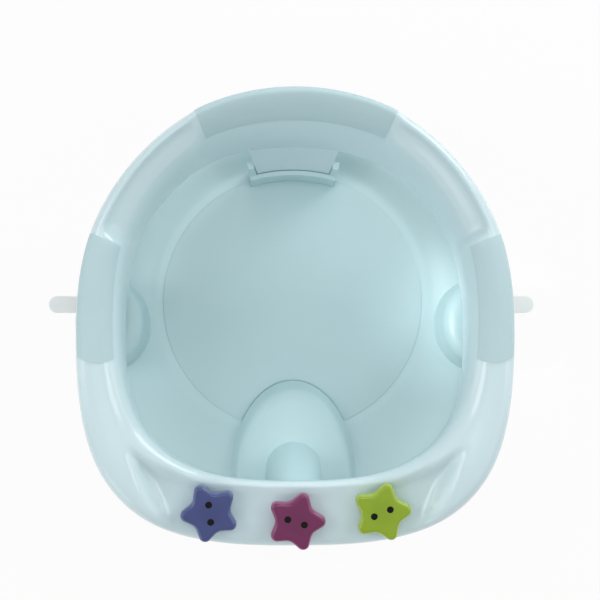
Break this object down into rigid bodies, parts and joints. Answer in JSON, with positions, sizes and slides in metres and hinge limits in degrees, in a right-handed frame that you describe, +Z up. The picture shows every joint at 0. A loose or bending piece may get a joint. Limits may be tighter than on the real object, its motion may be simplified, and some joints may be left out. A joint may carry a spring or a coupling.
{
  "type": "baby bath seat",
  "caption": "Bath seat for a baby: round dished base on suction cups, raised ring with a high back, soft grips and a front tray with spinning star toys.",
  "frame": {"origin": "middle of the footprint's box, on the plane the suction cups stand on", "axes": "+X across, from the sitter's right to left tab, +Y to the backrest, +Z up"},
  "size_m": [0.435, 0.373, 0.2062],
  "materials": {
    "shell": "moulded, soft gloss",
    "mat": "fine matt grain",
    "grip": "soft touch, matt",
    "cup": "milky, half clear",
    "star_blue": "moulded, satin",
    "star_pink": "moulded, satin",
    "star_green": "moulded, satin",
    "eye": "smooth",
    "pin": "plain"
  },
  "bodies": {
    "seat": {"ring": "shell", "seat_base": "shell", "seat_mat": "mat", "grip_left": "grip", "grip_right": "grip", "grip_back": "grip", "cup_left": "cup", "cup_right": "cup", "cup_front": "cup", "cup_rear": "cup"},
    "blue_star": {"star_blue": "star_blue", "pin_blue": "pin", "eye_blue_left": "eye", "eye_blue_right": "eye"},
    "pink_star": {"star_pink": "star_pink", "pin_pink": "pin", "eye_pink_left": "eye", "eye_pink_right": "eye"},
    "green_star": {"star_green": "star_green", "pin_green": "pin", "eye_green_left": "eye", "eye_green_right": "eye"}
  },
  "joints": [
    {"name": "blue_star_spin", "type": "hinge", "parent": "seat", "child": "blue_star", "pos_m": [-0.0683, -0.1514, 0.14791], "axis": [0, -0.1392, 0.9903], "continuous": true},
    {"name": "pink_star_spin", "type": "hinge", "parent": "seat", "child": "pink_star", "pos_m": [0, -0.1584, 0.14692], "axis": [0, -0.1392, 0.9903], "continuous": true},
    {"name": "green_star_spin", "type": "hinge", "parent": "seat", "child": "green_star", "pos_m": [0.0683, -0.1514, 0.14791], "axis": [0, -0.1392, 0.9903], "continuous": true}
  ]
}
